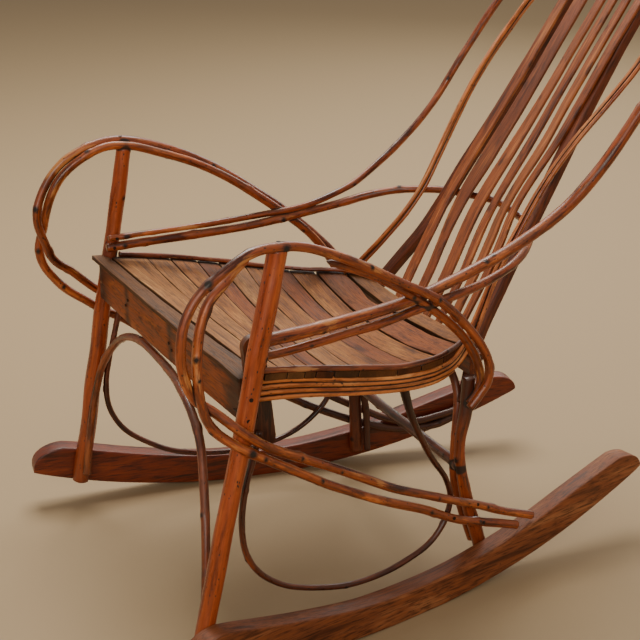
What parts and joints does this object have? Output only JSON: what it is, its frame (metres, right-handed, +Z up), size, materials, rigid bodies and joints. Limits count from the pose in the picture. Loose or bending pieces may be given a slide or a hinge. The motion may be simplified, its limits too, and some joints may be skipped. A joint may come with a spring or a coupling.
{
  "type": "rocking chair",
  "caption": "Rustic bentwood rocking chair: whittled sapling posts on sawn rockers, looped twig arms, dished slat seat and a leaning slat back inside bent twig hoops.",
  "frame": {"origin": "on the floor, at the middle of the chair's bounding box seen from above", "axes": "+Z up; the chair faces -Y; +X is the left side of someone sitting in it"},
  "size_m": [0.6796, 0.9922, 1.0032],
  "materials": {
    "rocker_board": "dark red-brown varnish, satin",
    "varnished_sapling": "red-brown varnish over whittled sapling, semi-gloss",
    "varnished_twig": "red-brown varnish over peeled twig, semi-gloss, dark knots",
    "light_twig": "thin orange varnish, satin",
    "dark_twig": "dark varnish, satin",
    "dark_bar": "dark stain, satin",
    "rail_board": "orange-brown varnish, worn",
    "seat_strip": "aged grey-brown, dull",
    "back_strip": "aged brown with worn varnish, dull",
    "iron_nail": "dark, rusted"
  },
  "bodies": {
    "root": {"rocker_left": "rocker_board", "front_post_left": "varnished_sapling", "rear_leg_left": "varnished_sapling", "side_twig_left_1": "light_twig", "side_twig_left_2": "light_twig", "side_twig_left_3": "light_twig", "side_twig_left_4": "light_twig", "seat_rim_twig_left": "light_twig", "arm_loop_outer_left": "varnished_twig", "arm_loop_inner_left": "varnished_twig", "arm_rear_rod_left": "varnished_twig", "side_bow_left": "dark_twig", "back_stile_left": "dark_bar", "rocker_right": "rocker_board", "front_post_right": "varnished_sapling", "rear_leg_right": "varnished_sapling", "side_twig_right_1": "light_twig", "side_twig_right_2": "light_twig", "side_twig_right_3": "light_twig", "side_twig_right_4": "light_twig", "seat_rim_twig_right": "light_twig", "arm_loop_outer_right": "varnished_twig", "arm_loop_inner_right": "varnished_twig", "side_bow_right": "dark_twig", "back_stile_right": "dark_bar", "front_seat_rail": "rail_board", "rear_seat_rail": "dark_bar", "rear_rung": "varnished_sapling", "arm_stretcher": "varnished_twig", "back_hoop": "varnished_twig", "front_arch": "dark_twig", "rear_arch": "dark_twig", "seat_slat_01": "seat_strip", "seat_slat_02": "seat_strip", "seat_slat_03": "seat_strip", "seat_slat_04": "seat_strip", "seat_slat_05": "seat_strip", "seat_slat_06": "seat_strip", "seat_slat_07": "seat_strip", "seat_slat_08": "seat_strip", "seat_slat_09": "seat_strip", "seat_slat_10": "seat_strip", "seat_slat_11": "seat_strip", "back_slat_1": "back_strip", "back_slat_2": "back_strip", "back_slat_3": "back_strip", "back_slat_4": "back_strip", "back_slat_5": "back_strip", "back_slat_6": "back_strip", "corner_cleat": "rail_board", "seat_nails": "iron_nail", "frame_nails": "iron_nail", "back_nails": "iron_nail"}
  },
  "joints": []
}
